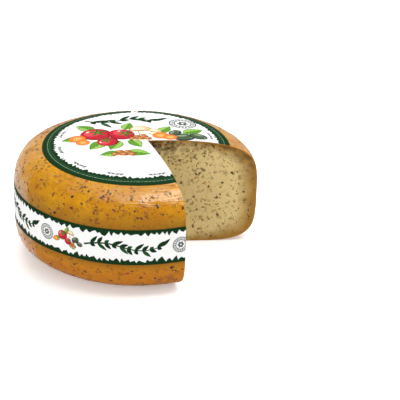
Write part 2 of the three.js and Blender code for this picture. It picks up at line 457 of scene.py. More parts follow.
def coated(name):
    """The clear coating brushed over the rind and over all that shows in it."""
    finish = Finish(name, roughness=0.4, coat=1.0, coat_roughness=0.11, specular=0.15, coat_ior=1.7)
    finish.waxy(0.3, (1.0, 0.5, 0.15), 1.8 * MM)
    finish.shader.inputs["Sheen Weight"].default_value = 0.3
    finish.shader.inputs["Sheen Roughness"].default_value = 0.35
    finish.shader.inputs["Sheen Tint"].default_value = BLOOM
    dents = finish.sums("MULTIPLY", finish.cloud(8 * MM, 0.3, 0.7, detail=2.0), DENTS)
    pores = finish.cloud(1.6 * MM, 0.3, 0.8, detail=4.0)
    streaks = finish.cloud(2.0 * MM, 0.3, 0.7, place=round_the_wheel(finish))
    height = finish.sums("MULTIPLY_ADD", pores, PORES, dents)
    height = finish.sums("MULTIPLY_ADD", streaks, STREAKS, height)
    finish.bumps(height, 0.8, COAT_RELIEF)
    return finish


rind = coated("golden_rind")
rind_colour = golden_rind(rind)
rind_colour = rind.laid_on(rind_colour, SPECK_BROWN, 0.5, rind.specks(2.6 * MM, 0.28))
rind_colour = rind.laid_on(rind_colour, SPECK_BROWN, 0.5, rind.specks(5.2 * MM, 0.35, 0.24))
rind.feed("Base Color", rind_colour)

PASTE = paint(204, 181, 121)
PASTE_PALE = paint(208, 186, 128)
# The olive under the rind, which also serves as painted shadow where the rim widens by the girth.
OLIVE_RIM_AND_SHADOW = paint(152, 110, 28)
# Painted shade in the paste, by the notch's corner under the crown.
PASTE_SHADE_DARK = paint(56, 42, 14)
RIND_LINE = paint(166, 108, 24)
PASTE_SPECK = paint(124, 94, 40)
RIND_THICK = 0.8 * MM
# The olive rim's width, and how much wider it is made by the girth as painted shadow.
RIM_WIDE, WEDGE_SHADOW_WIDENING = 11 * MM, 13 * MM
RIM_WANDER = 5 * MM
HEART_REACH, HEART_DEEP = 66 * MM, 20 * MM


def cheese_paste(finish):
    """The paste's colour: straw, olive towards the rind, widened by the girth as painted shadow, with
    painted shade in dark clouds under the crown, small specks, and the thin line of the rind itself."""
    under = finish.add("ShaderNodeAttribute", attribute_name="under_rind").outputs["Fac"]
    place = finish.add("ShaderNodeSeparateXYZ", {0: finish.place}).outputs
    from_point = finish.add("ShaderNodeCombineXYZ", {
        0: finish.sums("SUBTRACT", place["X"], float(NOTCH_POINT[0])),
        1: finish.sums("SUBTRACT", place["Y"], float(NOTCH_POINT[1])),
    }).outputs[0]
    along = finish.add("ShaderNodeVectorMath", {0: from_point}, operation="LENGTH").outputs["Value"]
    colour = finish.mixed(finish.cloud(14 * MM), PASTE, PASTE_PALE)
    # Painted shadow: the olive rim grows wider towards the girth, as the shadow of a cut wedge that is
    # not in the scene.
    rim_width_with_shadow = finish.sums("MULTIPLY_ADD", finish.between(along, 55 * MM, 100 * MM), WEDGE_SHADOW_WIDENING, RIM_WIDE)
    wander = finish.sums("MULTIPLY_ADD", finish.cloud(8 * MM), RIM_WANDER, under)
    rim = finish.between(finish.sums("DIVIDE", wander, rim_width_with_shadow), 1.1, 0.25)
    colour = finish.mixed(rim, colour, OLIVE_RIM_AND_SHADOW)
    # Painted shade: dark mottled clouds in the corner by the notch's point under the crown, and along
    # the top of the olive rim.
    near_point = finish.between(along, HEART_REACH, 20 * MM)
    near_crown = finish.between(place["Z"], 2 * MIDDLE - HEART_DEEP, 2 * MIDDLE - 7 * MM)
    notch_corner_shade = finish.sums("MULTIPLY", near_point, near_crown)
    corner = finish.sums("MULTIPLY", rim, finish.between(place["Z"], 60 * MM, 90 * MM))
    dark = finish.sums("MAXIMUM", notch_corner_shade, finish.sums("MULTIPLY", corner, 0.6))
    dark = finish.sums("MULTIPLY", dark, finish.cloud(2.6 * MM, 0.38, 0.58))
    colour = finish.mixed(dark, colour, PASTE_SHADE_DARK)
    colour = finish.laid_on(colour, PASTE_SPECK, 0.5, finish.specks(1.9 * MM, 0.4))
    colour = finish.laid_on(colour, PASTE_SPECK, 0.5, finish.cloud(2.6 * MM, 0.58, 0.72))
    return finish.mixed(finish.between(under, RIND_THICK * 1.5, RIND_THICK * 0.6), colour, RIND_LINE)


def freshly_cut(name, glow, depth):
    """The moist surface that the knife left on the paste and on the flakes in it."""
    finish = Finish(name, roughness=0.5, coat=0.08, coat_roughness=0.3, specular=0.35)
    finish.waxy(glow, (1.0, 0.75, 0.4), depth)
    return finish


paste = freshly_cut("cut_paste", 0.45, 2.5 * MM)
paste.feed("Base Color", cheese_paste(paste))
curds = paste.cloud(2.4 * MM, 0.3, 0.8, detail=4.0)
paste.bumps(curds, 0.5, 0.25 * MM)

wheel = new_piece("wheel", wheel_points, wheel_faces, [rind.material, paste.material])
for number, polygon in enumerate(wheel.data.polygons):
    polygon.material_index = int(number >= rind_faces)
wheel.data.set_sharp_from_angle(angle=SHARP_ANGLE)
under_values = wheel.data.attributes.new("under_rind", "FLOAT", "POINT")
under_values.data.foreach_set("value", [under_rind.get(i, 0.0) for i in range(len(wheel_points))])
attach(wheel, "root")
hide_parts("cheese_wheel")

# ---- Herbs and peppers in the rind ----
# Dried herbs, pepper and tomato flakes were stirred into the curd. Those that lay against the
# mould show through the golden coating, dark, brown or red, and raise it a little. The largest
# ones are laid out by the golden angle. The smaller ones fall between them, many of them in clumps.

LARGE_ON_RIND = 380
LARGE_SEED = 20
LARGE_LENGTH, LARGE_NARROWNESS = (3.2 * MM, 5.8 * MM), (0.4, 0.68)
LARGE_MARGIN = 4.5 * MM
LARGE_STAND = 0.34 * MM
LABEL_RADIUS = 92 * MM
SECTION_STEPS = 1200
GOLDEN_ANGLE = math.pi * (3 - math.sqrt(5))
SMALL_ON_RIND, SMALL_LONGEST = 1450, 4.2 * MM
TINY_ON_RIND, TINY_LONGEST = 1500, 1.7 * MM
SMALL_MARGIN = 1.6 * MM
SHORTEST, FEW_LONG = 0.3, 1.3
SMALL_NARROWNESS, SMALL_STAND = (0.45, 0.95), 0.05
CLUMPS, CLUMPED, CLUMP_REACH = 150, 0.38, 3.6 * MM
FLAKE_CORNERS, CORNER_SHIFT = 9, 0.2
FLAKE_RAGGED, FLAKE_BEND, FLAKE_LUMPS = (0.74, 1.16), 1.3, (0.7, 1.0)
FLAKE_SINK = 0.06 * MM
FLAKE_TOP, SEEN_AT_RIM = 0.66, 0.55


def dice(seed):
    """A run of throws from 0 to 1 that is the same each time."""
    state = seed
    while True:
        state = (state * 1664525 + 1013904223) % 2**32
        yield state / 2**32


large_throws = dice(LARGE_SEED)


def thrown(low, high):
    """The next throw, between two ends."""
    return low + (high - low) * next(large_throws)


def fine_section():
    """Closely spaced points of the wheel's half section, from the foot's centre to the crown's."""
    turn = np.pi * np.arange(SECTION_STEPS + 1) / SECTION_STEPS
    across, up = np.sin(turn), -np.cos(turn)
    crown = WHEEL_RADIUS * across ** (2 / CROWN_ACROSS), MIDDLE * (1 + np.abs(up) ** (2 / CROWN_UP))
    drop = (MIDDLE + FOOT_SAG) * np.abs(up) ** (2 / FOOT_DOWN)
    foot = WHEEL_RADIUS * across ** (2 / FOOT_ACROSS), np.maximum(0, MIDDLE - drop)
    return np.where(up >= 0, crown, foot).T


half_section = fine_section()
half_section[[0, -1], 0] = 0
# The rind's area up to each of those points, in the same measure throughout.
steps = np.hypot(*np.diff(half_section, axis=0).T) * (half_section[:-1, 0] + half_section[1:, 0])
swept = np.concatenate([[0], np.cumsum(steps)])


def outside_notch(level):
    """How far points lie outside the notch, beyond the nearer of its two cuts."""
    from_point = level - NOTCH_POINT
    near, far = near_cut.direction, far_cut.direction
    beyond_near = near[1] * from_point[..., 0] - near[0] * from_point[..., 1]
    beyond_far = far[0] * from_point[..., 1] - far[1] * from_point[..., 0]
    return np.maximum(beyond_near, beyond_far)


def shows(spots, margin):
    """Whether the rind is bare at these spots: on no label, cut or foot."""
    radius, height = np.hypot(spots[:, 0], spots[:, 1]), spots[:, 2]
    on_label = (height > MIDDLE) & (radius < LABEL_RADIUS + margin)
    on_band = (height > BAND_FOOT - margin) & (height < BAND_TOP + margin)
    return ~on_label & ~on_band & (height > 2 * margin) & (outside_notch(spots[:, :2]) > margin)


def on_rind(points):
    """The nearest points of the true round form, and which way it faces there."""
    points = np.array(points)
    for _ in range(4):
        radius, rise = np.hypot(points[:, 0], points[:, 1]), points[:, 2] - MIDDLE
        across = np.where(rise > 0, CROWN_ACROSS, FOOT_ACROSS)
        up = np.where(rise > 0, CROWN_UP, FOOT_DOWN)
        half = np.where(rise > 0, MIDDLE, MIDDLE + FOOT_SAG)
        level, tall = radius / WHEEL_RADIUS, np.abs(rise) / half
        excess = level**across + tall**up - 1
        level_slope = across * level ** (across - 1) / WHEEL_RADIUS / radius
        slope = np.column_stack([
            level_slope * points[:, 0],
            level_slope * points[:, 1],
            up * tall ** (up - 1) / half * np.sign(rise),
        ])
        points -= slope * (excess / (slope**2).sum(axis=1))[:, None]
    return points, slope / np.linalg.norm(slope, axis=1)[:, None]


def turned_as_laid(outward, turn):
    """Where a flake's length points, once it is stood on the face by the shortest turn."""
    stood = Vector((0, 0, 1)).rotation_difference(Vector(outward))
    return np.array(stood @ Vector((math.cos(turn), math.sin(turn), 0)))


# The throws are those of the solids, so that the large flakes lie where the solids have them.
large_rind = []
for number in range(LARGE_ON_RIND):
    share = (number + next(large_throws)) / LARGE_ON_RIND * swept[-1]
    index = max(1, int(np.argmax(swept >= share)))
    along = half_section[index] - half_section[index - 1]
    along /= np.hypot(*along)
    angle = number * GOLDEN_ANGLE
    heading = np.array([math.cos(angle), math.sin(angle)])
    spot = np.array([*(half_section[index, 0] * heading), half_section[index, 1]])
    if not shows(spot[None], LARGE_MARGIN)[0]:
        continue
    outward = (*(along[1] * heading), -along[0])
    length = thrown(*LARGE_LENGTH)
    width = length * thrown(*LARGE_NARROWNESS)
    thrown(0, math.pi)  # turns the facets of the plain form, and a flake has none
    large_rind.append((spot, turned_as_laid(outward, thrown(0, math.pi)), length, width))


def bed_on_rind(spots):
    """A way to lay flakes on the rind, each by its own length and width from its spot."""
    _, facing = on_rind(spots)
    side = np.cross([0, 0, 1], facing)
    side /= np.linalg.norm(side, axis=1)[:, None]
    up = np.cross(facing, side)

    def lay(along, aside, height):
        loose = spots[:, None] + along[..., None] * side[:, None] + aside[..., None] * up[:, None]
        points, out = on_rind(loose.reshape(-1, 3))
        return settled(points) + out * height.reshape(-1, 1)

    return lay, side, up


def lay_flakes(name, finish, beds, draw):
    """One mesh of many ragged flakes. Each is a low mound on its bed, with its rim sunk in.
    A bed is the way to lay them, and their turns, lengths, widths, stands and strengths."""
    points, faces, seen = [], [], []
    corner_turns = np.arange(FLAKE_CORNERS) * 2 * np.pi / FLAKE_CORNERS
    for lay, turn, length, width, stand, strength in beds:
        count = len(turn)
        middle, ring = np.ones((count, 1)), np.ones((count, FLAKE_CORNERS))
        round_ = corner_turns + draw.uniform(-CORNER_SHIFT, CORNER_SHIFT, ring.shape)
        ragged = draw.uniform(*FLAKE_RAGGED, ring.shape)
        along = np.cos(round_) * ragged * length[:, None] / 2
        aside = np.sin(round_) * ragged * width[:, None] / 2
        bend = width[:, None] * draw.uniform(-FLAKE_BEND, FLAKE_BEND, (count, 1))
        aside += (along / length[:, None]) ** 2 * bend
        # Its points are the bottom's middle, the sunk rim, a ring inside it, and the top's middle.
        along = np.concatenate([0 * middle, along, along * FLAKE_TOP, 0 * middle], axis=1)
        aside = np.concatenate([0 * middle, aside, aside * FLAKE_TOP, 0 * middle], axis=1)
        high = np.concatenate([-2 * middle, -ring, 0 * ring, 0 * middle], axis=1) * FLAKE_SINK
        high[:, FLAKE_CORNERS + 1:-1] += stand[:, None] * draw.uniform(*FLAKE_LUMPS, ring.shape)
        high[:, -1] += stand
        cosine, sine = np.cos(turn)[:, None], np.sin(turn)[:, None]
        base = sum(map(len, points))
        points.append(lay(along * cosine - aside * sine, along * sine + aside * cosine, high))
        shown = np.concatenate([0 * middle, SEEN_AT_RIM * ring, ring, middle], axis=1)
        seen.append((shown * strength[:, None]).ravel())
        each = 2 * FLAKE_CORNERS + 2
        for bottom in range(base, base + count * each, each):
            for corner in range(FLAKE_CORNERS):
                rim = bottom + 1 + corner
                next_rim = bottom + 1 + (corner + 1) % FLAKE_CORNERS
                inner, next_inner = rim + FLAKE_CORNERS, next_rim + FLAKE_CORNERS
                faces.append((bottom, next_rim, rim))
                faces.append((rim, next_rim, next_inner, inner))
                faces.append((inner, next_inner, bottom + each - 1))
    piece = new_piece(name, np.concatenate(points), faces, [finish.material])
    values = piece.data.attributes.new("seen", "FLOAT", "POINT")
    values.data.foreach_set("value", np.concatenate(seen))
    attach(piece, "root")
    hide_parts("cheese_wheel")
    return piece


def anywhere_on_rind(count, draw):
    """Spots of the round form, even by area."""
    share = draw.uniform(0, swept[-1], count)
    radius, height = (np.interp(share, swept, half_section[:, i]) for i in (0, 1))
    angle = draw.uniform(0, 2 * np.pi, count)
    return np.column_stack([radius * np.cos(angle), radius * np.sin(angle), height])


clumps = anywhere_on_rind(CLUMPS, np.random.default_rng(6))


def scattered_on_rind(count, margin, draw):
    """Bare spots of the rind, even by area but for those that gather in clumps."""
    spots = anywhere_on_rind(count * 4, draw)
    gathered = np.flatnonzero(draw.random(len(spots)) < CLUMPED)
    leaders = clumps[draw.integers(0, CLUMPS, len(gathered))]
    spots[gathered], _ = on_rind(leaders + draw.normal(0, CLUMP_REACH, leaders.shape))
    return spots[shows(spots, margin)][:count]


def tint_flakes(finish, around, dark, light):
    """Each flake's own tone in its middle, and more of the colour around it towards its rim."""
    seen = finish.add("ShaderNodeAttribute", attribute_name="seen").outputs["Fac"]
    tone = finish.add("ShaderNodeNewGeometry").outputs["Random Per Island"]
    finish.feed("Base Color", finish.mixed(seen, around, finish.mixed(tone, dark, light)))


rind_draw = np.random.default_rng(5)
RIND_KINDS = {
    "rind_dark_herbs": (0.50, paint(20, 14, 24), paint(70, 38, 32)),
    "rind_brown_herbs": (0.30, paint(96, 46, 24), paint(132, 80, 30)),
    "rind_red_peppers": (0.20, paint(108, 20, 34), paint(160, 56, 36)),
}
kind_shares = [share for share, _, _ in RIND_KINDS.values()]
large_kind = rind_draw.choice(len(RIND_KINDS), len(large_rind), p=kind_shares)

for kind, (name, (share, dark, light)) in enumerate(RIND_KINDS.items()):
    chosen = [large for large, which in zip(large_rind, large_kind) if which == kind]
    spots, along, length, width = (np.array(part) for part in zip(*chosen))
    lay, side, up = bed_on_rind(spots)
    turn = np.arctan2((along * up).sum(axis=1), (along * side).sum(axis=1))
    strength = rind_draw.uniform(0.7, 1, len(spots))
    beds = [(lay, turn, length, width, np.full(len(spots), LARGE_STAND), strength)]
    for total, longest, least in (
        (SMALL_ON_RIND, SMALL_LONGEST, 0.3),
        (TINY_ON_RIND, TINY_LONGEST, 0.2),
    ):
        spots = scattered_on_rind(int(total * share), SMALL_MARGIN, rind_draw)
        lay, _, _ = bed_on_rind(spots)
        length = longest * rind_draw.uniform(SHORTEST, 1, len(spots)) ** FEW_LONG
        width = length * rind_draw.uniform(*SMALL_NARROWNESS, len(spots))
        turn = rind_draw.uniform(0, np.pi, len(spots))
        strength = rind_draw.uniform(least, 1, len(spots))
        beds.append((lay, turn, length, width, length * SMALL_STAND, strength))
    finish = coated(name)
    tint_flakes(finish, golden_rind(finish), dark, light)
    lay_flakes(name, finish, beds, rind_draw)

# ---- Herbs and peppers in the cut ----
# The knife went through the flakes inside the cheese. They lie in the cut faces as olive, dark
# and orange-red bits, some just under the surface and pale, and the largest stand out a little.

LARGE_ON_CUT = 52
PLASTIC_NUMBER = 1.3247179572447
SMALL_ON_CUT, SMALL_CUT_LONGEST = 430, 4.6 * MM
TINY_ON_CUT, TINY_CUT_LONGEST = 800, 1.5 * MM
HEART_ON_CUT, HEART_CUT_LONGEST = 210, 3.6 * MM
FEW_LONG_ON_CUT = 1.4
NARROWNESS_ON_CUT, SMALL_STAND_ON_CUT = (0.42, 0.95), 0.03
LARGE_LEFT, LARGE_STAND_ON_CUT = 0.8, 0.2 * MM
RED_IN_HEART = 0.3
CUT_KINDS = {
    "cut_green_herbs": (0.44, paint(106, 84, 30), paint(168, 130, 48)),
    "cut_dark_herbs": (0.44, paint(46, 28, 12), paint(104, 72, 38)),
    "cut_red_peppers": (0.12, paint(150, 44, 18), paint(188, 116, 42)),
}

# On the cuts the large flakes are spread by the plastic number, again as on the solids.
large_cut = {}
for cut in (near_cut, far_cut):
    large_cut[cut] = []
    for number in range(1, LARGE_ON_CUT + 1):
        along = number / PLASTIC_NUMBER % 1 * WHEEL_RADIUS
        height = number / PLASTIC_NUMBER**2 % 1 * 2 * MIDDLE
        beyond = np.hypot(*(NOTCH_POINT + cut.direction * (along + LARGE_MARGIN)))
        if beyond > WHEEL_RADIUS or along < LARGE_MARGIN:
            continue
        if not foot_height(beyond) + LARGE_MARGIN <= height <= crown_height(beyond) - LARGE_MARGIN:
            continue
        length = thrown(*LARGE_LENGTH)
        width = length * thrown(*LARGE_NARROWNESS)
        thrown(0, math.pi)  # the plain form's facets again
        laid = turned_as_laid(cut.outward, thrown(0, math.pi))
        turn = math.atan2(laid[2], laid[:2] @ cut.direction)
        large_cut[cut].append((np.array([along, height]), turn, length, width))


def bed_on_cut(cut, spots):
    """A way to lay flakes on a cut face, each by its length and width as seen from in front."""
    def lay(along, aside, height):
        flat = (spots[:, None] + np.stack([along * cut.hand, aside], axis=2)).reshape(-1, 2)
        return cut.placed(flat, cut.depth(flat) + height.ravel())

    return lay


def scattered_on_cut(cut, count, margin, draw, in_heart):
    """Spots anywhere on a cut, or crowded in its heart under the crown, where shade is painted."""
    along, height = draw.uniform(0, 1, (2, count * 2))
    if in_heart:
        # The powers crowd them towards the point and the crown.
        down = height**1.5 * 1.4 * HEART_DEEP
        spots = np.column_stack([along**1.2 * HEART_REACH, 2 * MIDDLE - down])
    else:
        spots = np.column_stack([along * cut.reach, height * 2 * MIDDLE])
    low, high = cut.heights(spots[:, 0] + margin)
    clear = (spots[:, 1] > low + margin) & (spots[:, 1] < high - margin)
    clear &= (spots[:, 0] > margin) & (spots[:, 0] < cut.reach - margin)
    return spots[clear][:count]


def depth_under_rind(points):
    """How far points of the two cuts lie in from the rind."""
    from_point = points - [*NOTCH_POINT, 0]
    off_far, off_near = (np.abs(from_point @ cut.outward) for cut in (far_cut, near_cut))
    depth = np.empty(len(points))
    for cut, on_cut in ((far_cut, off_far < off_near), (near_cut, off_far >= off_near)):
        depth[on_cut] = away_from(cut.flat(points[on_cut]), cut.rind_line)
    return depth


cut_draw = np.random.default_rng(9)
kind_shares = [share for share, _, _ in CUT_KINDS.values()]
for kind, (name, (share, dark, light)) in enumerate(CUT_KINDS.items()):
    beds = []
    for cut in (far_cut, near_cut):
        large_kind = cut_draw.choice(len(CUT_KINDS), len(large_cut[cut]), p=kind_shares)
        chosen = [large for large, which in zip(large_cut[cut], large_kind) if which == kind]
        if chosen:
            spots, turn, length, width = (np.array(part) for part in zip(*chosen))
            strength = cut_draw.uniform(0.5, 1, len(spots))
            beds.append((
                bed_on_cut(cut, spots),
                turn * cut.hand,
                length * LARGE_LEFT,
                width * LARGE_LEFT,
                np.full(len(spots), LARGE_STAND_ON_CUT),
                strength,
            ))
        for total, longest, least, in_heart in (
            (SMALL_ON_CUT, SMALL_CUT_LONGEST, 0.3, False),
            (TINY_ON_CUT, TINY_CUT_LONGEST, 0.15, False),
            (HEART_ON_CUT, HEART_CUT_LONGEST, 0.5, True),
        ):
            rare = RED_IN_HEART if in_heart and name == "cut_red_peppers" else 1
            spots = scattered_on_cut(cut, int(total * share * rare), longest * 0.6, cut_draw, in_heart)
            length = longest * cut_draw.uniform(SHORTEST, 1, len(spots)) ** FEW_LONG_ON_CUT
            width = length * cut_draw.uniform(*NARROWNESS_ON_CUT, len(spots))
            turn = cut_draw.uniform(0, np.pi, len(spots))
            strength = cut_draw.uniform(least, 1, len(spots))
            stand = length * SMALL_STAND_ON_CUT
            beds.append((bed_on_cut(cut, spots), turn, length, width, stand, strength))
    finish = freshly_cut(name, 0.3, 1.5 * MM)
    tint_flakes(finish, cheese_paste(finish), dark, light)
    finish.bumps(finish.cloud(1.2 * MM, 0.3, 0.8), 0.5, 0.2 * MM)
    flakes = lay_flakes(name, finish, beds, cut_draw)
    places = np.array([vertex.co for vertex in flakes.data.vertices])
    under_values = flakes.data.attributes.new("under_rind", "FLOAT", "POINT")
    under_values.data.foreach_set("value", depth_under_rind(places))

# ---- The round label on top ----
# Printed paper, glued flat on the crown and cut with the wheel. Its green border is ragged and
# has fine pale lines in it. The white field shows a twig, vegetables, mushrooms and nuts, with a
# rosette and small sprays. All of it is drawn in millimetres on the flat paper.

PAPER_TOP, PAPER_THICK = 0.24 * MM, 0.12 * MM
PAPER_MESH = 3.1
# The camera stands so far round from straight in front, and the print faces it.
VIEW_DEGREES = -10.57
PAPER_WHITE, FIBRE_SHADE = paint(226, 226, 225), paint(214, 212, 206)
BOTTLE_GREEN = paint(17, 51, 22)
DEEP_GREEN = paint(30, 76, 34)
THREAD_GREEN, THREAD_SHADE = paint(106, 134, 108), paint(60, 98, 64)
LEAF, LEAF_DARK, LEAF_LIGHT = paint(92, 142, 44), paint(46, 98, 34), paint(142, 182, 82)
TOMATO, TOMATO_DARK, TOMATO_LIGHT = paint(176, 30, 46), paint(122, 16, 34), paint(208, 66, 72)
SHINE = paint(246, 204, 198)
OLIVE, OLIVE_DARK, OLIVE_LIGHT = paint(70, 84, 66), paint(38, 52, 42), paint(126, 142, 108)
CARROT, CARROT_DARK, CARROT_LIGHT = paint(224, 122, 50), paint(188, 88, 34), paint(242, 164, 92)
NUT, NUT_DARK, NUT_LIGHT = paint(156, 94, 46), paint(98, 56, 28), paint(196, 138, 86)
NUT_BASE = paint(214, 184, 140)
CAP, CAP_DARK, CAP_LIGHT = paint(206, 176, 130), paint(144, 110, 72), paint(236, 218, 184)
INK_GREY = paint(84, 92, 88)
TAB_BUFF, TAB_GREY = paint(226, 190, 104), paint(104, 116, 134)
LEAF_FULLEST = 0.8


def moved(outline, at=(0, 0), turn=0, scale=1):
    """An outline made larger or smaller, turned, and then put in its place."""
    cosine, sine = compass(turn)
    turning = np.array([[cosine, sine], [-sine, cosine]])
    return np.array(outline) * scale @ turning + np.array(at)


def set_down(shapes, at=(0, 0), turn=0, scale=1):
    """The same for a drawing: a list of outlines with their inks, the lowest one first."""
    return [(moved(outline, at, turn, scale), ink) for outline, ink in shapes]


def oval(across, up, at=(0, 0), turn=0, corners=22):
    """An oval by its width and height."""
    round_ = np.linspace(0, 2 * np.pi, corners, endpoint=False)
    return moved(np.column_stack([across / 2 * np.cos(round_), up / 2 * np.sin(round_)]), at, turn)


def leaf_side(along, half_width):
    """How wide one half of a leaf is, at shares of its length."""
    return half_width * np.sin(np.pi * along**LEAF_FULLEST) ** 0.9


def leaf_form(length, width, corners):
    """A leaf's outline, from its stalk at 0 to its tip."""
    along = np.linspace(0, 1, corners)
    upper = np.column_stack([along * length, leaf_side(along, width / 2)])
    return np.concatenate([upper[:-1], (upper * [1, -1])[:0:-1]])


def stroke(path, width, end_width):
    """The outline of a brush stroke that goes from one width to another."""
    path = np.array(path, float)
    along = np.gradient(path, axis=0)
    sideways = np.column_stack([-along[:, 1], along[:, 0]]) / np.linalg.norm(along, axis=1)[:, None]
    half = np.linspace(width, end_width, len(path))[:, None] / 2
    return np.concatenate([path - sideways * half, (path + sideways * half)[::-1]])


def basil_leaf(length, width):
    """A broad leaf with one half lit, four pairs of veins and a midrib."""
    form = leaf_form(length, width, 13)
    shapes = [(form, LEAF_DARK), (moved(form, (length * 0.03, 0), 0, 0.93), LEAF)]
    along = np.linspace(0.06, 0.94, 10)
    upper = np.column_stack([along * length, leaf_side(along, width * 0.41)])
    lower = [(length * 0.94, 0.15), (length * 0.06, 0.15)]
    shapes.append((np.concatenate([lower, upper]), LEAF_LIGHT))
    for share in (0.2, 0.38, 0.56, 0.72):
        out = width * 0.4 * math.sin(math.pi * (share + 0.1) ** LEAF_FULLEST)
        for side in (1, -1):
            vein = [(length * share, 0), (length * (share + 0.17), side * out)]
            shapes.append((stroke(vein, length * 0.025, length * 0.008), LEAF_DARK))
    midrib = [(0, 0), (length * 0.5, 0), (length * 0.97, 0)]
    shapes.append((stroke(midrib, length * 0.045, length * 0.01), DEEP_GREEN))
    return shapes


# The vegetables, mushrooms, nuts and the rosette are drawn 1 across, and then made their size.
def cherry_tomato(size):
    shapes = [
        (oval(1, 0.94, corners=26), TOMATO_DARK),
        (oval(0.92, 0.84, (-0.02, 0.03), corners=26), TOMATO),
        (oval(0.56, 0.46, (-0.1, 0.1), 20), TOMATO_LIGHT),
        (oval(0.17, 0.1, (-0.22, 0.24), 35, 10), SHINE),
    ]
    for turn in range(18, 378, 72):
        shapes.append((moved(leaf_form(0.34, 0.11, 6), (0.08, 0.16), turn), LEAF_DARK))
    shapes.append((oval(0.1, 0.1, (0.08, 0.16), corners=8), LEAF))
    return set_down(shapes, scale=size)


def olive(size):
    shapes = [
        (oval(1, 0.74), OLIVE_DARK),
        (oval(0.86, 0.58, (0, 0.04)), OLIVE),
        (oval(0.5, 0.18, (-0.05, 0.17), 4, 14), OLIVE_LIGHT),
        (oval(0.12, 0.14, (0.36, -0.02), 0, 10), OLIVE_LIGHT),
    ]
    return set_down(shapes, scale=size)


def carrot_slice(size):
    shapes = [(oval(1, 0.96), CARROT_DARK), (oval(0.9, 0.86), CARROT), (oval(0.52, 0.48), CARROT_LIGHT)]
    for turn in range(0, 360, 40):
        shapes.append((moved(stroke([(0.12, 0), (0.38, 0)], 0.03, 0.05), turn=turn), CARROT))
    return set_down(shapes, scale=size)


def mushroom(size):
    stem = [(-0.14, -0.52), (0.15, -0.5), (0.12, 0.05), (-0.12, 0.05)]
    round_ = np.linspace(-0.12, np.pi + 0.12, 16)
    cap = np.column_stack([np.cos(round_) * 0.5, np.sin(round_) * 0.5 - 0.02])
    gills = np.column_stack([np.cos(round_) * 0.44, -np.abs(np.sin(round_)) * 0.1 + 0.02])
    shapes = [
        (stem, CAP_DARK),
        (moved(moved(stem, (0.02, 0.02)), scale=0.86), CAP_LIGHT),
        (cap, CAP_DARK),
        (moved(cap, (0, 0.02), 0, 0.9), CAP),
        (moved(cap, (-0.08, 0.12), 0, 0.55), CAP_LIGHT),
        (gills, CAP_DARK),
    ]
    return set_down(shapes, scale=size)


def hazelnut(size):
    shapes = [
        (oval(1, 1.04), NUT_DARK),
        (oval(0.88, 0.9, (-0.02, 0.02)), NUT),
        (oval(0.5, 0.36, (-0.13, 0.18), 30, 12), NUT_LIGHT),
        (oval(0.62, 0.26, (0, -0.36), 0, 12), NUT_BASE),
    ]
    return set_down(shapes, scale=size)


def nut_heap(size, rows):
    """Hazelnuts in a low heap, the far row first."""
    shapes = []
    for row, count in enumerate(rows):
        up = (len(rows) - 1 - row) * size * 0.62
        for number in range(count):
            along = (number - (count - 1) / 2) * size * 0.9
            shapes += set_down(hazelnut(size), (along, up), 40 * math.sin(number * 2.3 + row))
    return shapes


def sprig(length, rise, leaf_length, pairs, narrowness):
    """A rosemary-like twig along a long S, its narrow leaves in pairs."""
    def bend(share):
        return np.array([(share - 0.5) * length, math.sin(share * 2 * math.pi) * rise])

    shapes = []
    for number in range(pairs):
        share = (number + 0.5) / pairs
        tangent = bend(share + 0.01) - bend(share - 0.01)
        heading = math.degrees(math.atan2(tangent[1], tangent[0]))
        spread = 36 + 9 * math.sin(number * 1.3)
        smaller = 1 - 0.45 * max(0, share - 0.6)
        for side in (1, -1):
            long = leaf_length * (0.72 + 0.28 * math.sin(number * 2.1 + side)) * smaller
            ink = BOTTLE_GREEN if (number + side) % 3 else DEEP_GREEN
            form = leaf_form(long, leaf_length * narrowness, 7)
            shapes.append((moved(form, bend(share), heading + side * spread), ink))
    tip = moved(leaf_form(leaf_length, leaf_length * 0.3, 7), bend(1), 40)
    path = [bend(share) for share in np.linspace(-0.04, 1, 30)]
    stem = stroke(path, leaf_length * 0.15, leaf_length * 0.07)
    return shapes + [(tip, BOTTLE_GREEN), (stem, BOTTLE_GREEN)]


def rosette(size):
    """A plain round stamp: rings, a ring of blocks and a six-petalled flower."""
    shapes = []
    for across, ink in ((1, INK_GREY), (0.89, PAPER_WHITE), (0.66, INK_GREY), (0.56, PAPER_WHITE)):
        shapes.append((oval(across, across, corners=36), ink))
    block = stroke([(0.345, 0), (0.425, 0)], 0.075, 0.075)
    for turn in range(0, 360, 18):
        shapes.append((moved(block, turn=turn), INK_GREY))
    petal = moved(leaf_form(0.2, 0.15, 8), (0.03, 0))
    for turn in range(0, 360, 60):
        shapes.append((moved(petal, turn=turn), INK_GREY))
    shapes.append((oval(0.1, 0.1, corners=10), PAPER_WHITE))
    return set_down(shapes, scale=size)


def spray():
    """A small grey ornament: leaves and berries on a line."""
    shapes = [(stroke([(-9, -0.7), (0, 0.5), (9, -0.7)], 0.8, 0.8), INK_GREY)]
    for x, turn in ((-7.6, 40), (-4.4, 34), (4.4, 146), (7.6, 140)):
        shapes.append((moved(leaf_form(4.4, 2.0, 6), (x, -0.2), turn), INK_GREY))
    for x in (-1.5, 0, 1.5):
        shapes.append((oval(1.2, 1.2, (x, 2.0), corners=7), INK_GREY))
    return shapes


def ring_part(low, high, start, end):
    """A short piece of a ring round the label's middle, between two angles in degrees."""
    turns = np.linspace(start, end, 4)
    outer = [high * compass(turn) for turn in turns]
    return np.array(outer + [low * compass(turn) for turn in turns[::-1]])


label_draw = np.random.default_rng(3)
RIM = LABEL_RADIUS / MM
BORDER = 10.4
FIELD = RIM - BORDER
RIM_STEPS, CUT_STEPS = 380, 45
TEETH_TO_BASE, TOOTH_GAP, TOOTH_WAVER = 0.45, 0.25, (-0.15, 0.25)


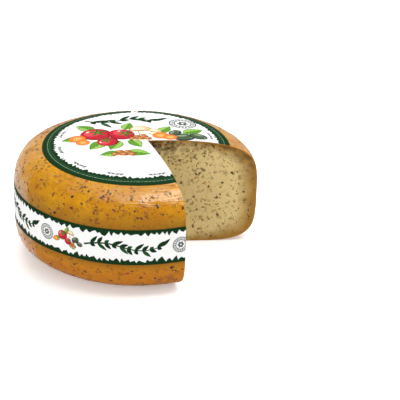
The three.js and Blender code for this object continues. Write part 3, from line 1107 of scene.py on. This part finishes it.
def torn_edge(draw, length, tooth_width, tooth_depth):
    """An uneven edge, as how far along and how deep: teeth large and small, nicks and slits."""
    spots, along = [], 0.0
    while along < length:
        width = tooth_width[0] + (tooth_width[1] - tooth_width[0]) * draw.random() ** 1.4
        depth = draw.uniform(*tooth_depth)
        valley = 0 if draw.random() < TEETH_TO_BASE else depth * draw.uniform(0.1, 0.5)
        peak = draw.uniform(0.25, 0.75)
        flank = 0.45 + 0.55 * peak
        tooth = ((0, 0), (0.3 * peak, 0.5), (peak - 0.06, 0.95), (peak + 0.06, 1), (flank, 0.5))
        for share, deep in tooth:
            deep = valley + (depth - valley) * deep
            spots.append((along + width * share, deep + draw.uniform(*TOOTH_WAVER)))
        along += width + TOOTH_GAP
    return spots


def ragged_field():
    """The white field's edge, with uneven teeth of the border's green running into it."""
    around = 2 * math.pi * FIELD
    teeth = torn_edge(label_draw, around - 4, (3.0, 7.5), (1.4, 3.6))
    return np.array([
        (FIELD - deep) * compass(along / around * 360)
        for along, deep in teeth
        if along < around - 1
    ])


def pale_threads():
    """Two fine broken lines that run round in the green border."""
    shapes = []
    for radius, thick, ink in ((RIM - 5.4, 0.9, THREAD_GREEN), (RIM - 7.6, 0.5, THREAD_SHADE)):
        turn = 0.0
        while turn < 359:
            long = label_draw.uniform(0.9, 2.6)
            shapes.append((ring_part(radius - thick / 2, radius + thick / 2, turn, turn + long), ink))
            turn += long + label_draw.uniform(0.35, 0.7)
    return shapes


label_print = [*pale_threads(), (ragged_field(), PAPER_WHITE)]

# A white tab crosses the border at the back, with a buff and a grey field on it.
TAB_TURN = 91.5
for low, high, before, after, ink in (
    (FIELD - 2, RIM + 2, 2.3, 2.3, PAPER_WHITE),
    (RIM - 4.6, RIM - 0.8, 1.2, 1.5, TAB_BUFF),
    (RIM - 9.4, RIM - 5.4, 1.8, 0.8, TAB_GREY),
):
    label_print.append((ring_part(low, high, TAB_TURN - before, TAB_TURN + after), ink))

# The sprays run round inside the border, but for its back, where the rosette and the twig are.
for turn in range(15, 375, 30):
    if not 40 < turn < 140:
        label_print += set_down(spray(), (FIELD - 6.8) * compass(turn), turn - 90)
label_print += set_down(rosette(28), (46, 47))
label_print += set_down(sprig(66, -6, 20, 7, 0.27), (-17, 52), -2)

# Basil leaves lie under the vegetables and the lower heap of nuts.
for at, turn, long in (
    ((-46, 6), 190, 28), ((-30, -2), 235, 26), ((-16, -2), 248, 24), ((-6, 2), 300, 22),
    ((-42, 24), 140, 24), ((-12, 26), 75, 20), ((30, 8), 15, 28), ((22, 18), 60, 22), ((46, 20), 35, 24),
    ((-10, -27), -14, 25), ((-14, -30), 196, 22),
):
    label_print += set_down(basil_leaf(long, long * 0.6), at, turn)
label_print += set_down(mushroom(24), (4, 25), 10)
label_print += set_down(mushroom(16), (17, 22), -24)
label_print += set_down(cherry_tomato(31), (-40, 14), 10)
label_print += set_down(cherry_tomato(27), (-15, 14), -30)
label_print += set_down(cherry_tomato(22), (-28, -4), 60)
for at, turn, size in (((46, 9), 10, 23), ((61, 14), -20, 19), ((38, 20), 60, 16)):
    label_print += set_down(olive(size), at, turn)
for at, size in (((24, 12), 17), ((33, 8), 14), ((-58, 4), 17), ((-52, -6), 14)):
    label_print += set_down(carrot_slice(size), at)
label_print += set_down(nut_heap(8, (2, 3)), (4, 4))
label_print += set_down(nut_heap(8.5, (2, 3)), (-12, -34))


printed_paper = Finish("printed_paper", roughness=0.55, coat=0.02, coat_roughness=0.25, specular=0.06)
ink_colour = printed_paper.add("ShaderNodeVertexColor", layer_name="ink").outputs["Color"]
fibre = printed_paper.cloud(0.7 * MM, 0.2, 0.8, detail=2.0)
fibre_inputs = {0: printed_paper.sums("MULTIPLY", fibre, 0.1), 6: ink_colour, 7: FIBRE_SHADE}
fibre_mix = printed_paper.add("ShaderNodeMix", fibre_inputs, data_type="RGBA", blend_type="MULTIPLY")
printed_paper.feed("Base Color", fibre_mix.outputs[2])
printed_paper.bumps(printed_paper.cloud(5 * MM, 0.3, 0.7), 0.12, 0.15 * MM)


def printed_sheet(name, shapes, lattice, lay):
    """A sheet of paper printed with the shapes, the last one on top, and laid on the cheese.
    The first shape is the sheet itself. Colours stay sharp, because each face has its own."""
    points, loops = [], []
    for outline, _ in shapes:
        loops.append(list(range(len(points), len(points) + len(outline))))
        points.extend(outline)
    flat, faces, _ = triangles_of([*points, *lattice], loops)
    flat, faces = np.array(flat), np.array(faces)
    middles = flat[faces].mean(axis=1)
    sheet = inside(middles, shapes[0][0])
    faces, middles = faces[sheet], middles[sheet]
    # The last shape that a face lies in gives it its ink.
    ink_of = np.zeros(len(faces), int)
    for number, (outline, _) in enumerate(shapes[1:], start=1):
        low, high = outline.min(axis=0), outline.max(axis=0)
        near = np.flatnonzero(((middles > low) & (middles < high)).all(axis=1))
        ink_of[near[inside(middles[near], outline)]] = number
    # The paper's top, its underside, and the thin edge that joins them.
    used, top = np.unique(faces, return_inverse=True)
    flat, top = flat[used], [tuple(face) for face in top.reshape(-1, 3)]
    count = len(used)
    sides = {(face[i], face[(i + 1) % 3]) for face in top for i in range(3)}
    rim = [(b, a, a + count, b + count) for a, b in sides if (b, a) not in sides]
    under = [tuple(corner + count for corner in reversed(face)) for face in top]
    inks = [shapes[number][1] for number in ink_of for _ in range(3)]
    inks += [PAPER_WHITE] * (3 * len(under)) + [shapes[0][1]] * (4 * len(rim))
    points = np.concatenate([lay(flat, PAPER_TOP), lay(flat, PAPER_TOP - PAPER_THICK)])
    piece = new_piece(name, points, [*top, *under, *sorted(rim)], [printed_paper.material])
    ink = piece.data.color_attributes.new("ink", "FLOAT_COLOR", "CORNER")
    ink.data.foreach_set("color", np.array(inks, dtype=np.float32).ravel())
    piece.data.set_sharp_from_angle(angle=SHARP_ANGLE)
    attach(piece, "root")
    return piece


def label_sheet():
    """The round label's outline, less the notch."""
    far_end, near_end = (
        NOTCH_POINT + cut.direction * run_to_circle(cut.direction, LABEL_RADIUS)
        for cut in (far_cut, near_cut)
    )
    start, end = (math.degrees(math.atan2(y, x)) % 360 for x, y in (far_end, near_end))
    rim = [LABEL_RADIUS * compass(turn) for turn in np.linspace(start - 360, end, RIM_STEPS)]
    shares = np.linspace(0, 1, CUT_STEPS)
    sides = [NOTCH_POINT * (1 - share) + near_end * share for share in shares[::-1][1:]]
    sides += [NOTCH_POINT * (1 - share) + far_end * share for share in shares[1:-1]]
    return moved(np.array(rim + sides) / MM, turn=-VIEW_DEGREES)


def on_crown(flat, lift):
    """Points of the flat label where they are on the wheel, so far above the crown."""
    level = moved(flat * MM, turn=VIEW_DEGREES)
    height = crown_height(np.hypot(level[:, 0], level[:, 1]))
    return settled(np.column_stack([level, height])) + [0, 0, lift]


def paper_lattice(across, up):
    """Evenly spaced points that let a sheet follow the form under it."""
    rows = np.arange(*up, PAPER_MESH * math.sqrt(3) / 2)
    columns = np.arange(*across, PAPER_MESH)
    return [(x + PAPER_MESH / 2 * (row % 2), y) for row, y in enumerate(rows) for x in columns]


top_label = printed_sheet(
    "top_label_sheet",
    [(label_sheet(), BOTTLE_GREEN), *label_print],
    paper_lattice((-RIM, RIM), (-RIM, RIM)),
    on_crown,
)
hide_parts("top_label")

# ---- The band round the side ----
# One long strip of the same printed paper, glued round the side, with its ends overlapped at the
# back. It has a ragged green edge above and below, and a sprig, a rosette and a small group of
# vegetables again and again along it. The knife cut it where it cut the wheel.

BAND_RADIUS = WHEEL_RADIUS / MM
BAND_HEIGHT = (BAND_TOP - BAND_FOOT) / MM
FACING_TURN = VIEW_DEGREES - 90
BAND_REPEAT = 64.4 * math.pi / 180 * BAND_RADIUS
SEAM = -158 * math.pi / 180 * BAND_RADIUS
OVERLAP, OVERLAP_FADE = 12.0, 0.6
TEETH_BASE = 2.4
PAST_SEAM_SHIFT = -0.37 * BAND_REPEAT
PAST_END = 30


def side_radius(height):
    """The wheel's radius at a height on its side."""
    rise = np.abs(height - MIDDLE)
    upper = np.clip(1 - (rise / MIDDLE) ** CROWN_UP, 0, 1) ** (1 / CROWN_ACROSS)
    lower = np.clip(1 - (rise / (MIDDLE + FOOT_SAG)) ** FOOT_DOWN, 0, 1) ** (1 / FOOT_ACROSS)
    return WHEEL_RADIUS * np.where(height > MIDDLE, upper, lower)


def cut_turn(cut, radius):
    """Where a cut meets a circle round the axis, as a turn in radians from the facing side."""
    spots = NOTCH_POINT + np.multiply.outer(run_to_circle(cut.direction, radius), cut.direction)
    return np.arctan2(spots[..., 1], spots[..., 0]) - math.radians(FACING_TURN)


band_right = float(cut_turn(near_cut, WHEEL_RADIUS)) * BAND_RADIUS
band_left = (float(cut_turn(far_cut, WHEEL_RADIUS)) - 2 * math.pi) * BAND_RADIUS


def on_side(flat, lift):
    """Points of the flat strip where they are on the wheel, so far out from its side. Past the
    seam one end of the paper lies on the other, and stands out further by its thickness."""
    height = flat[:, 1] * MM + BAND_FOOT
    past = (flat[:, 0] - SEAM) / OVERLAP
    doubled = np.where(past > 0, np.clip(1 + OVERLAP_FADE - past, 0, 1), 0) * PAPER_THICK
    radius = side_radius(height)
    share = (flat[:, 0] - band_left) / (band_right - band_left)
    left, right = cut_turn(far_cut, radius) - 2 * math.pi, cut_turn(near_cut, radius)
    # The strip's ends run along the cuts, which meet the circle of each height at another turn.
    turn = left * (1 - share) + right * share + math.radians(FACING_TURN)
    outward = np.column_stack([np.cos(turn), np.sin(turn), np.zeros(len(turn))])
    points = outward * radius[:, None] + np.outer(height, [0, 0, 1])
    return settled(points) + outward * (doubled + lift)[:, None]


def border_teeth(draw, height, hand):
    """One edge of the white strip, from left to right: the green border's uneven teeth."""
    teeth = torn_edge(draw, band_right - band_left + 10, (4.0, 9.5), (2.2, 5.4))
    return [(band_left - 5 + along, height + hand * (TEETH_BASE + deep)) for along, deep in teeth]


def small_group():
    """Vegetables, a mushroom, nuts and leaves, in a group about 34 mm wide."""
    shapes = set_down(basil_leaf(10, 5.4), (-7, -1), 200)
    shapes += set_down(basil_leaf(9, 5), (3, -3), -50)
    shapes += set_down(basil_leaf(9, 5), (-1, 4), 70)
    shapes += set_down(mushroom(7.5), (4.5, 5.5), -15)
    shapes += set_down(cherry_tomato(10.5), (-4.5, 2.5), 10)
    shapes += set_down(cherry_tomato(7.5), (1.5, -2.5), -30)
    shapes += set_down(olive(8), (9.5, 0.5), 25)
    shapes += set_down(olive(6.5), (14, -3), -15)
    shapes += set_down(carrot_slice(5.5), (-12.5, -3))
    return shapes + set_down(nut_heap(3.8, (1, 2)), (6.8, -6.6))


band_draw = np.random.default_rng(17)
lower_teeth = border_teeth(band_draw, 0, 1)
upper_teeth = border_teeth(band_draw, BAND_HEIGHT, -1)
band_print = [(np.array(lower_teeth + upper_teeth[::-1]), PAPER_WHITE)]
# The pattern starts anew at the seam. A motif may run a little past the end of its part.
for shift, first, last in ((0.0, SEAM, band_right), (PAST_SEAM_SHIFT, band_left, SEAM)):
    for number in range(-6, 2):
        for offset, half, motif in (
            (-11.5, 38, sprig(70, 3.0, 12, 10, 0.3)),
            (-68, 19, small_group()),
            (-92, 9, rosette(16)),
        ):
            middle = shift + number * BAND_REPEAT + offset
            if first < middle - half and middle + half < last + PAST_END:
                band_print += set_down(motif, (middle, BAND_HEIGHT / 2))

long_steps = np.linspace(band_left, band_right, 400)
tall_steps = np.linspace(0, BAND_HEIGHT, 19)
band_outline = [(x, 0) for x in long_steps]
band_outline += [(band_right, y) for y in tall_steps[1:]]
band_outline += [(x, BAND_HEIGHT) for x in long_steps[::-1][1:]]
band_outline += [(band_left, y) for y in tall_steps[::-1][1:-1]]
seam_line = [(SEAM + side, y) for side in (-0.05, 0.05) for y in np.arange(1, BAND_HEIGHT, 1.5)]
side_band = printed_sheet(
    "side_band_sheet",
    [(np.array(band_outline), BOTTLE_GREEN), *band_print],
    paper_lattice((band_left + 1, band_right - 1), (1, BAND_HEIGHT - 1)) + seam_line,
    on_side,
)
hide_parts("side_label")

# ---- Floor, light and camera ----
# A pale floor that glows faintly, in a white room. A softbox and two brighter ovals hang level
# over the wheel and give the shine on its shoulder. Two low panels behind it light its far edges.
# One more lamp behind and one in front, which no gloss shows, lighten the shadows.

FLOOR_REACH, FLOOR_DROP = 6.0, 0.2 * MM
FLOOR_GLOW = 0.28
FLOOR_TONES = paint(243, 243, 242), paint(245, 245, 244)

floor_mesh = bpy.data.meshes.new("floor")
floor_corners = [(-FLOOR_REACH, -FLOOR_REACH), (FLOOR_REACH, -FLOOR_REACH)]
floor_corners += [(FLOOR_REACH, FLOOR_REACH), (-FLOOR_REACH, FLOOR_REACH)]
floor_mesh.from_pydata([(x, y, -FLOOR_DROP) for x, y in floor_corners], [], [(0, 1, 2, 3)])
floor = bpy.data.objects.new("floor", floor_mesh)
bpy.context.scene.collection.objects.link(floor)
floor_finish = Finish("pale_floor", roughness=0.9, specular=0.1)
floor_finish.feed("Base Color", floor_finish.mixed(floor_finish.cloud(0.4), *FLOOR_TONES))
floor_finish.shader.inputs["Emission Color"].default_value = (1, 1, 1, 1)
floor_finish.shader.inputs["Emission Strength"].default_value = FLOOR_GLOW
floor_mesh.materials.append(floor_finish.material)
floor.visible_glossy = False

ROOM_BRIGHTNESS, ROOM_IN_GLOSS = 0.615, 0.05
world = bpy.data.worlds.new("white_room")
bpy.context.scene.world = world
world.use_nodes = True
room = world.node_tree
room_light = room.nodes.new("ShaderNodeMath")
room_light.operation = "MULTIPLY_ADD"
room.links.new(room.nodes.new("ShaderNodeLightPath").outputs["Is Glossy Ray"], room_light.inputs[0])
room_light.inputs[1].default_value = ROOM_IN_GLOSS - ROOM_BRIGHTNESS
room_light.inputs[2].default_value = ROOM_BRIGHTNESS
room.links.new(room_light.outputs[0], room.nodes["Background"].inputs["Strength"])
room.nodes["Background"].inputs["Color"].default_value = (1, 1, 1, 1)

CAMERA_PLACE = Vector((-0.2605, -1.3958, 0.7163))
CAMERA_TARGET = Vector((0.06241, -0.01165, 0.04578))
CAMERA_ROLL = math.radians(1.559)
CAMERA_LENS = 142.47

toward = (CAMERA_TARGET - CAMERA_PLACE).normalized()
level_right = toward.cross(Vector((0, 0, 1))).normalized()
level_up = level_right.cross(toward)
right = level_right * math.cos(CAMERA_ROLL) + level_up * math.sin(CAMERA_ROLL)
upward = level_up * math.cos(CAMERA_ROLL) - level_right * math.sin(CAMERA_ROLL)
camera = bpy.data.objects.new("camera", bpy.data.cameras.new("camera"))
camera.data.lens = CAMERA_LENS
camera.data.sensor_width = 36
camera.data.clip_start = 0.01
camera.data.clip_end = 50
camera.matrix_world = Matrix((
    (right.x, upward.x, -toward.x, CAMERA_PLACE.x),
    (right.y, upward.y, -toward.y, CAMERA_PLACE.y),
    (right.z, upward.z, -toward.z, CAMERA_PLACE.z),
    (0, 0, 0, 1),
))
bpy.context.scene.collection.objects.link(camera)
bpy.context.scene.camera = camera
bpy.context.scene.view_settings.view_transform = "Standard"

VIEW_TURN = math.radians(VIEW_DEGREES)
LAMP_AIM = Vector((0, 0, 0.06))


def softbox(name, shape, place, size, power, level=True, in_gloss=True):
    """A white panel of light, placed to the camera's right, towards it and up, in metres. It
    hangs level or is aimed at the wheel."""
    lamp = bpy.data.lights.new(name, "AREA")
    lamp.shape = shape
    lamp.size, lamp.size_y = size
    lamp.energy = power
    panel = bpy.data.objects.new(name, lamp)
    across, near, high = place
    panel.location = (
        across * math.cos(VIEW_TURN) + near * math.sin(VIEW_TURN),
        across * math.sin(VIEW_TURN) - near * math.cos(VIEW_TURN),
        high,
    )
    aimed = (LAMP_AIM - panel.location).to_track_quat("-Z", "Y")
    panel.rotation_mode = "QUATERNION"
    panel.rotation_quaternion = Quaternion((0, 0, 1), VIEW_TURN) if level else aimed
    panel.visible_glossy = in_gloss
    bpy.context.scene.collection.objects.link(panel)


softbox("overhead_softbox", "RECTANGLE", (0.42, -0.45, 1.5), (2.0, 2.05), 7)
softbox("overhead_glow", "ELLIPSE", (0.62, -0.05, 1.48), (2.1, 1.25), 6.4)
softbox("overhead_bulb", "ELLIPSE", (0.66, 0.14, 1.46), (1.25, 0.84), 8.2)
softbox("back_panel", "ELLIPSE", (-0.9, -2.8, -0.3), (6.2, 3.8), 17, level=False)
softbox("low_back_panel", "ELLIPSE", (-1.9, -2.2, -1.0), (3.2, 2.4), 8, level=False)
softbox("back_fill", "RECTANGLE", (-0.3, -2.4, 1.2), (1.6, 1.6), 58, level=False, in_gloss=False)
softbox("front_fill", "RECTANGLE", (-1.1, 2.0, 1.1), (1.6, 1.6), 17, level=False, in_gloss=False)
